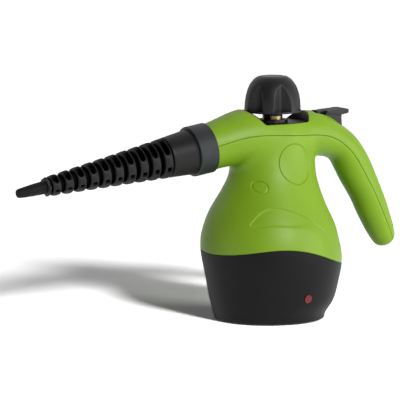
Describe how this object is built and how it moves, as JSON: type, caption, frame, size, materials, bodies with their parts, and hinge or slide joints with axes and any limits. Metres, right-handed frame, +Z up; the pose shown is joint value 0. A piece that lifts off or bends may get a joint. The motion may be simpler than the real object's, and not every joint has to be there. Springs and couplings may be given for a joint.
{
  "type": "steam cleaner",
  "caption": "Handheld steam cleaner with a bulb-shaped tank, ribbed jet nozzle, screw-down safety cap, thumb trigger and downward pistol handle.",
  "frame": {"origin": "on the ground under the axis of the filler cap", "axes": "+Z up, -X along the nozzle, +X towards the handle, +Y to the machine's left when it is seen from behind the handle; the housing is mirror-symmetric about Y = 0"},
  "size_m": [0.414, 0.137, 0.2358],
  "materials": {
    "base_plastic": "fine satin grain",
    "green_plastic": "satin",
    "black_plastic": "satin",
    "collar_plastic": "satin",
    "nozzle_plastic": "fine grain",
    "soft_rubber": "matte",
    "lamp_red": "clear red",
    "lamp_glass": "clear",
    "boiler_metal": "as cast",
    "steel": "zinc plated",
    "brass": "turned",
    "pipe_silicone": "milky",
    "fuse_body": "ceramic white"
  },
  "bodies": {
    "root": {"base_cup": "base_plastic", "foot_ring": "soft_rubber", "base_screws": "steel", "lamp_lens": "lamp_red", "lamp_bulb": "lamp_glass", "lamp_socket": "black_plastic", "cord_inlet": "soft_rubber", "terminal_block": "black_plastic", "body_shell": "green_plastic", "top_cover": "green_plastic", "well_liner": "black_plastic", "boiler_lower": "boiler_metal", "boiler_gasket": "soft_rubber", "boiler_upper": "boiler_metal", "flange_bolts": "steel", "heating_element": "steel", "thermostat": "steel", "thermal_fuse": "fuse_body", "fuse_clip": "steel", "filler_neck": "brass", "neck_nut": "black_plastic", "valve_body": "brass", "valve_spring": "steel", "lever_pin": "steel", "trigger_pin": "steel", "steam_pipe": "pipe_silicone", "outlet_spigot": "black_plastic", "outlet_seal": "soft_rubber"},
    "cap_seal": {"cap_seal": "soft_rubber"},
    "cap_plug": {"cap_plug": "brass", "relief_stop": "steel", "relief_spring": "steel", "cap_spring": "steel"},
    "cap": {"cap_shell": "black_plastic"},
    "relief_valve": {"relief_poppet": "brass"},
    "trigger": {"trigger": "black_plastic", "trigger_spring": "steel"},
    "trigger_lock": {"trigger_lock": "black_plastic"},
    "valve_lever": {"valve_lever": "steel"},
    "valve_plunger": {"valve_plunger": "brass"},
    "nozzle": {"nozzle_collar": "collar_plastic", "nozzle_guard": "nozzle_plastic", "nozzle_pipe": "nozzle_plastic", "nozzle_tip": "nozzle_plastic"}
  },
  "joints": [
    {"name": "nozzle_twist", "type": "hinge", "parent": "root", "child": "nozzle", "pos_m": [-0.0722, 0, 0.17006], "axis": [-0.9876, 0, -0.1573], "range_deg": [0, 45]},
    {"name": "cap_lift", "type": "slide", "parent": "root", "child": "cap_seal", "axis": [0, 0, 1], "range_m": [0, 0.0091]},
    {"name": "cap_turn", "type": "hinge", "parent": "cap_seal", "child": "cap_plug", "pos_m": [0, 0, 0.2], "axis": [0, 0, 1], "range_deg": [0, 1080]},
    {"name": "cap_press", "type": "slide", "parent": "cap_plug", "child": "cap", "axis": [0, 0, -1], "range_m": [0, 0.003], "stiffness_N_per_m": 900, "springref_m": -0.002, "deforming": ["cap_spring"]},
    {"name": "relief_lift", "type": "slide", "parent": "cap_plug", "child": "relief_valve", "axis": [0, 0, 1], "range_m": [0, 0.0012], "stiffness_N_per_m": 1000, "springref_m": -0.002, "deforming": ["relief_spring"]},
    {"name": "trigger_press", "type": "hinge", "parent": "root", "child": "trigger", "pos_m": [0.0549, 0, 0.184], "axis": [0, 1, 0], "range_deg": [0, 12], "stiffness_Nm_per_rad": 0.1, "springref_deg": -17.19},
    {"name": "lever_turn", "type": "hinge", "parent": "root", "child": "valve_lever", "pos_m": [0.018, 0, 0.167], "axis": [0, 1, 0], "range_deg": [0, 4.2]},
    {"name": "plunger_push", "type": "slide", "parent": "root", "child": "valve_plunger", "axis": [0, 0, -1], "range_m": [0, 0.0012], "deforming": ["valve_spring"]},
    {"name": "lock_slide", "type": "slide", "parent": "root", "child": "trigger_lock", "axis": [-1, 0, 0], "range_m": [0, 0.004]}
  ],
  "couplings": [
    {"joint": "cap_lift", "follows": "cap_turn", "m_per_rad": 0.00047746},
    {"joint": "lever_turn", "follows": "trigger_press", "ratio": 0.34},
    {"joint": "plunger_push", "follows": "trigger_press", "m_per_rad": 0.0053}
  ]
}
